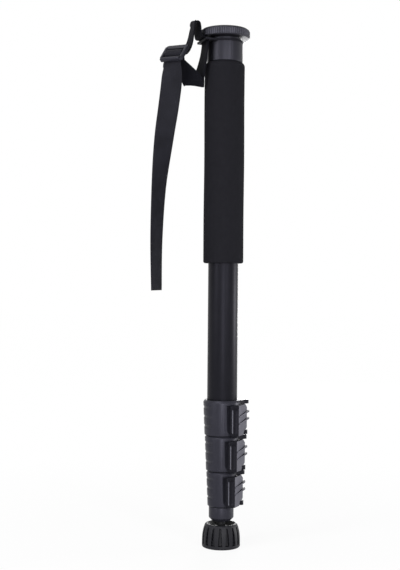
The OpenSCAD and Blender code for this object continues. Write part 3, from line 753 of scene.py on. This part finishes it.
# Each row is a point of the webbing's middle (mm) and its width's bearing and tilt (degrees).
strap_rows = [
    on_buckle(0, -2.6), on_buckle(-1.2, -5.4), on_buckle(-3.6, -8.6), (-41.2, -13.2, 475.6, -46, 0),
    (-35.4, -13.3, 467.6, -24, -4), (-31.8, -12.4, 462.8, -2, -7), (-30.9, -9.7, 459.9, 0, -7),
    (-30, -7.1, 462.7, -4, -7), (-27.4, -6.4, 467.4, -38, -4), (-24.6, -6.8, 473.4, -58, 0),
    (-22.6, -7.4, 482, -65, 0), (-21, -7.6, 492, -70, 0), (-19.7, -7.2, 502.6, -70, 0),
    (-20.4, -7.4, 505.9, -70, 0), (-22.8, -8.3, 506.8, -70, 0), (-26.6, -9.6, 508.4, -70, 0),
    (-27.5, -9.8, 517.5, -70, -14), (-28.1, -10, 521.6, -73, -14), (-30, -10.4, 523.3, -75, -14),
    (-31.9, -10.8, 521.6, -77, -14), (-32.5, -11, 517.5, -77, -10), (-35.6, -10.2, 501, -68, 0),
    (-40.2, -8.2, 494.4, -50, -1), on_buckle(5.4, -6.4), on_buckle(4, -2.8), on_buckle(3.7, -0.3),
    on_buckle(2.7, 1.7), on_buckle(0, 2.45), on_buckle(-2.6, 1.7), on_buckle(-3.6, -0.2),
    on_buckle(-4.4, -2.05), on_buckle(-6.4, -2.7), on_buckle(-9.5, -2.8),
    (-52.3, -20.9, 475.5, -30, 0), (-52.8, -22, 459, 0, 0), (-55.6, -22, 435, 12, 0),
    (-59.7, -22, 405, 25, 0), (-64.2, -21.4, 360, 47, 0), (-66.3, -20.6, 306, 57, 0),
    (-65.9, -20, 256, 62, 0)]


def nylon_webbing():
    """Herringbone webbing, darkened by painted shade in the loop, lighter in the tail and sealed at its cut
    end.
    """
    material, add = finish("nylon_webbing")
    uv = add("ShaderNodeTexCoord", output="UV")
    parts = add("ShaderNodeSeparateXYZ", uv).node.outputs
    columns = add("ShaderNodeMath", parts["X"], cords_per_metre, settings={"operation": "MULTIPLY"})
    zigzag = add("ShaderNodeMath", columns, 1.0, settings={"operation": "PINGPONG"})
    picks = add("ShaderNodeMath", parts["Y"], picks_per_metre, settings={"operation": "MULTIPLY"})
    slant = add("ShaderNodeMath", picks, zigzag, settings={"operation": "ADD"})
    turn = add("ShaderNodeMath", slant, 2 * math.pi, settings={"operation": "MULTIPLY"})
    yarn = add("ShaderNodeMath", turn, settings={"operation": "SINE"})
    cords = add("ShaderNodeMath", zigzag, 0.7, settings={"operation": "MULTIPLY"})
    weave = add("ShaderNodeMath", yarn, cords, settings={"operation": "ADD"})
    level = add("ShaderNodeMapRange", weave, -1.0, 1.7, 0.0, 1.0)
    place = add("ShaderNodeTexCoord", output="Object")
    fade = add("ShaderNodeTexNoise", place, Scale=60.0, Detail=3.0)
    sealed = add("ShaderNodeMapRange", parts["Y"], strap_length - seal_start, strap_length - seal_full,
                 1.0, 0.25)
    woven = add("ShaderNodeMath", level, sealed, settings={"operation": "MULTIPLY"})
    faded = add("ShaderNodeMath", woven, fade, settings={"operation": "MULTIPLY"})
    # Painted shade: the webbing is darkened, and its shine and sheen cut, along the loop, lifting over the
    # taper into the tail.
    out_of_painted_shade = add("ShaderNodeMapRange", parts["Y"], tail_from - painted_shade_taper, tail_from, 0.0, 1.0)
    tone = add("ShaderNodeMath", faded, spread(add, out_of_painted_shade, 0.15, 1.0), settings={"operation": "MULTIPLY"})
    add("shader", Base_Color=between(add, tone, (0.004, 0.004, 0.0058), (0.023, 0.0228, 0.0325)),
        Roughness=spread(add, sealed, 0.4, 0.65), Specular_IOR_Level=spread(add, out_of_painted_shade, 0.03, 0.08),
        Sheen_Weight=spread(add, out_of_painted_shade, 0.0, 0.03), Sheen_Roughness=0.5,
        Normal=add("ShaderNodeBump", Strength=0.5, Distance=1.2e-4, Height=woven))
    return material


def strap_curve(k, t):
    """A point of the smooth curve through the strap's rows, t of the way from row k to the next."""
    last = len(strap_rows) - 1
    a, b, c, d = (strap_rows[max(0, min(last, k + n))] for n in (-1, 0, 1, 2))
    return [0.5 * (2 * q + (r - p) * t + (2 * p - 5 * q + 4 * r - s) * t * t
                   + (3 * q - p - 3 * r + s) * t ** 3) for p, q, r, s in zip(a, b, c, d)]


spans = [(k, s / strap_steps) for k in range(len(strap_rows) - 1) for s in range(strap_steps)]
curve = [strap_curve(k, t) for k, t in spans] + [list(strap_rows[-1])]
strap_path = [Vector(row[:3]) * MM for row in curve]


def strap_frame(k):
    """Across and through directions of the webbing at a point of its path."""
    ahead = (strap_path[min(k + 1, len(strap_path) - 1)] - strap_path[max(k - 1, 0)]).normalized()
    bearing, tilt = (math.radians(v) for v in curve[k][3:])
    wide = Vector((math.cos(tilt) * math.cos(bearing), math.cos(tilt) * math.sin(bearing), math.sin(tilt)))
    across = (wide - ahead * wide.dot(ahead)).normalized()
    return across, ahead.cross(across)


def strap_section(k):
    """One ring of the webbing, flat with round selvages, as points and their places across (-1 to 1)."""
    across, through = strap_frame(k)
    ring = []
    for side in (1, -1):
        for s in range(strap_sides + 1):
            u = side * (1 - 2 * s / strap_sides)
            u = math.copysign(1 - (1 - abs(u)) ** edge_crowding, u)
            half = strap_thick / 2 * (1 - abs(u) ** selvage_power) ** 0.5
            ring.append((strap_path[k] + across * (u * strap_width / 2) + through * (side * half), u))
    return ring


def woven_face(bm, uv_layer, corners):
    """A face of webbing from corners of a vertex and its metres across and along."""
    face = bm.faces.new([v for v, across_m, along_m in corners])
    for loop, (v, across_m, along_m) in zip(face.loops, corners):
        loop[uv_layer].uv = (across_m, along_m)


bm = bmesh.new()
uv_layer = bm.loops.layers.uv.new("weave")
rings = []
run = 0.0
for k in range(len(strap_path)):
    if k:
        run += (strap_path[k] - strap_path[k - 1]).length
    rings.append([(bm.verts.new(p), u * strap_width / 2, run) for p, u in strap_section(k)])
faces = [[here[i], here[(i + 1) % len(here)], there[(i + 1) % len(here)], there[i]]
         for here, there in zip(rings, rings[1:]) for i in range(len(here))]
half_ring = strap_sides + 1
for end_ring in (rings[0], rings[-1]):
    faces += [[end_ring[i], end_ring[i + 1], end_ring[2 * half_ring - 2 - i], end_ring[2 * half_ring - 1 - i]]
              for i in range(half_ring - 1)]
for corners in faces:
    if len({tuple(v.co) for v, across_m, along_m in corners}) >= 3:
        woven_face(bm, uv_layer, corners)
webbing = nylon_webbing()
strap = shown("strap_webbing", closed(bm, "wrist_strap"), webbing, "upper_leg", sharp=60)
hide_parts("wrist_strap")


# Sewn end: the strap's end is turned round the buckle's middle bar and sewn down on itself.
# It is the same webbing, worn thin round the bar, with two rows of polyester stitches.
bar_half = Vector((1.5, 1.25)) * MM
bar_round = 0.5 * MM
loop_room = 0.05 * MM
loop_thick = 0.4 * MM
corner_steps = 4


def round_bar(off):
    """Points of the loop round the bar, at a distance from the bar's faces."""
    points = []
    for turns, (up, out) in enumerate(((1, 1), (-1, 1), (-1, -1), (1, -1))):
        corner = Vector((up * (bar_half.x - bar_round), out * (bar_half.y - bar_round)))
        for s in range(corner_steps + 1):
            a = math.pi / 2 * (turns + s / corner_steps)
            points.append(corner + Vector((math.cos(a), math.sin(a))) * (bar_round + off))
    return points


bm = bmesh.new()
uv_layer = bm.loops.layers.uv.new("weave")
sides = []
for near, far in zip(round_bar(loop_room), round_bar(loop_room + loop_thick)):
    places = [(-1, near), (1, near), (1, far), (-1, far)]
    sides.append([(bm.verts.new(buckle_middle * MM + buckle_turn @ Vector((edge * strap_width / 2, *p))),
                   edge * strap_width / 2) for edge, p in places])
for k, here in enumerate(sides):
    there = sides[(k + 1) % len(sides)]
    for i in range(4):
        j = (i + 1) % 4
        start, stop = k * loop_thick, (k + 1) * loop_thick
        corners = [(*here[i], start), (*there[i], stop), (*there[j], stop), (*here[j], start)]
        woven_face(bm, uv_layer, corners)
# Painted shade: the sewn loop lies in the darkened start of the webbing.
shown("strap_sewn_loop", closed(bm, "sewn_loop"), webbing, "upper_leg", sharp=60)


def polyester_thread():
    material, add = finish("polyester_thread")
    place = add("ShaderNodeTexCoord", output="Object")
    twist = add("ShaderNodeTexNoise", place, Scale=3000.0, Detail=2.0)
    add("shader", Base_Color=between(add, twist, (0.012, 0.012, 0.016), (0.03, 0.03, 0.04)),
        Roughness=spread(add, twist, 0.45, 0.6), Specular_IOR_Level=0.15,
        Normal=add("ShaderNodeBump", Strength=0.3, Distance=3e-5, Height=twist))
    return material


stitch_rows = (9, 14)
stitches = 7
stitch_pitch = 2.7 * MM
stitch_length = 2 * MM
thread_radius = 0.22 * MM
thread_sides = 8
ends = []
for k in stitch_rows:
    across, through = strap_frame(k)
    for side in (-1, 1):
        for n in range(stitches):
            middle = across * (n - (stitches - 1) / 2) * stitch_pitch + through * side * strap_thick / 2
            ends += [strap_path[k] + middle + across * stitch_length / 2 * s for s in (-1, 1)]
seam = bpy.data.meshes.new("seam")
seam.from_pydata(ends, [(k, k + 1) for k in range(0, len(ends), 2)], [])
given, add, end, grown = node_tree("stitches", Radius=thread_radius)
lines = add("GeometryNodeMeshToCurve", Mesh=given.outputs["Base"])
thread = add("GeometryNodeCurvePrimitiveCircle", Resolution=thread_sides, Radius=given.outputs["Radius"])
stitched = add("GeometryNodeCurveToMesh", Curve=lines.outputs[0], Profile_Curve=thread.outputs[0],
               Fill_Caps=True)
black_thread = polyester_thread()
end(stitched.outputs[0], black_thread)
shown("strap_stitches", grown(seam), black_thread, "upper_leg")


# Studio: a pale floor, a white surround, soft lamps and a level camera at the photograph's distance.
# The floor goes down with the lowest section, so that the leg stands on it however far it is drawn out.
camera_distance = 1.05
camera_height = 0.2616
camera_left = 0.0231
camera_roll = -0.475
picture_height = 570
focal_pixels = 1047
sensor_height = 36
camera = bpy.data.objects.new("camera", bpy.data.cameras.new("camera"))
bpy.context.scene.collection.objects.link(camera)
camera.data.sensor_fit = "VERTICAL"
camera.data.sensor_height = sensor_height
camera.data.lens = sensor_height * focal_pixels / picture_height
camera.location = (-camera_left, -camera_distance, camera_height)
camera.rotation_euler = (math.pi / 2, math.radians(camera_roll), 0)
bpy.context.scene.camera = camera
bpy.context.scene.view_settings.view_transform = "Standard"


def seen(tree):
    """1 for a ray from the camera, a mirror or glass, and 0 for one that only carries light."""
    path = tree.nodes.new("ShaderNodeLightPath")
    total = path.outputs["Is Camera Ray"]
    for name in ("Is Glossy Ray", "Is Transmission Ray"):
        larger = tree.nodes.new("ShaderNodeMath")
        larger.operation = "MAXIMUM"
        tree.links.new(total, larger.inputs[0])
        tree.links.new(path.outputs[name], larger.inputs[1])
        total = larger.outputs[0]
    return total


surround_light = 0.22
surround_seen = 1.0
world = bpy.data.worlds.new("surround")
bpy.context.scene.world = world
world.use_nodes = True
sky = world.node_tree.nodes["Background"]
sky.inputs["Color"].default_value = (1, 1, 1, 1)
strength = world.node_tree.nodes.new("ShaderNodeMapRange")
world.node_tree.links.new(seen(world.node_tree), strength.inputs[0])
strength.inputs[3].default_value = surround_light
strength.inputs[4].default_value = surround_seen
world.node_tree.links.new(strength.outputs[0], sky.inputs["Strength"])

floor_size = 8
floor_cells = 4
floor_pale = (0.86, 0.86, 0.86, 1)
floor_glow_near = 0.9
floor_glow_far = 0.998
floor_near = 0.1
floor_far = 0.55
bm = bmesh.new()
bmesh.ops.create_grid(bm, x_segments=floor_cells, y_segments=floor_cells, size=floor_size)
floor_mesh = bpy.data.meshes.new("floor")
bm.to_mesh(floor_mesh)
bm.free()
floor = bpy.data.objects.new("floor", floor_mesh)
bpy.context.scene.collection.objects.link(floor)
floor_paint = bpy.data.materials.new("floor_paint")
floor_paint.use_nodes = True
tree = floor_paint.node_tree
tree.nodes.remove(tree.nodes["Principled BSDF"])
diffuse = tree.nodes.new("ShaderNodeBsdfDiffuse")
diffuse.inputs["Color"].default_value = floor_pale
glow = tree.nodes.new("ShaderNodeEmission")
part = tree.nodes.new("ShaderNodeMath")
part.operation = "MULTIPLY"
spot = tree.nodes.new("ShaderNodeTexCoord")
reach = tree.nodes.new("ShaderNodeVectorMath")
reach.operation = "LENGTH"
grade = tree.nodes.new("ShaderNodeMapRange")
for k, value in enumerate((floor_near, floor_far, floor_glow_near, floor_glow_far)):
    grade.inputs[k + 1].default_value = value
tree.links.new(spot.outputs["Object"], reach.inputs[0])
tree.links.new(reach.outputs["Value"], grade.inputs[0])
tree.links.new(grade.outputs[0], part.inputs[1])
tree.links.new(seen(tree), part.inputs[0])
mix = tree.nodes.new("ShaderNodeMixShader")
tree.links.new(part.outputs[0], mix.inputs[0])
tree.links.new(diffuse.outputs[0], mix.inputs[1])
tree.links.new(glow.outputs[0], mix.inputs[2])
tree.links.new(mix.outputs[0], tree.nodes["Material Output"].inputs["Surface"])
floor_mesh.materials.append(floor_paint)
floor.parent = frame["bodies"]["section_4"]
floor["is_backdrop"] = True

# A strip in front and one at each side for the tubes' highlights, a low one for the foot, and fill lamps.
for name, place, aim, width, height, power in (
        ("front_strip", (0, -1.7, 0.6), (0, 0, 0.3), 0.45, 1.1, 10),
        ("left_strip", (-1.35, -1.0, 0.6), (0, 0, 0.3), 0.45, 1.1, 12),
        ("right_strip", (0.85, -1.45, 0.6), (0, 0, 0.3), 0.3, 1.1, 12),
        ("low_strip", (0.02, -0.8, 0.07), (0, 0, 0.06), 0.1, 0.12, 1.6),
        ("top_lamp", (-0.5, -0.7, 1.7), (0, 0, 0.3), 0.7, 0.7, 9),
        ("right_lamp", (1.1, 0.25, 0.13), (0, 0, 0.09), 0.3, 0.24, 5),
        ("back_strip", (0.3, 1.7, 0.6), (0, 0, 0.3), 0.45, 1.1, 18)):
    lamp = bpy.data.objects.new(name, bpy.data.lights.new(name, "AREA"))
    lamp.data.shape = "RECTANGLE"
    lamp.data.size = width
    lamp.data.size_y = height
    lamp.data.energy = power
    lamp.location = place
    lamp.rotation_euler = (Vector(aim) - Vector(place)).to_track_quat("-Z", "Y").to_euler()
    bpy.context.scene.collection.objects.link(lamp)

low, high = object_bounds()
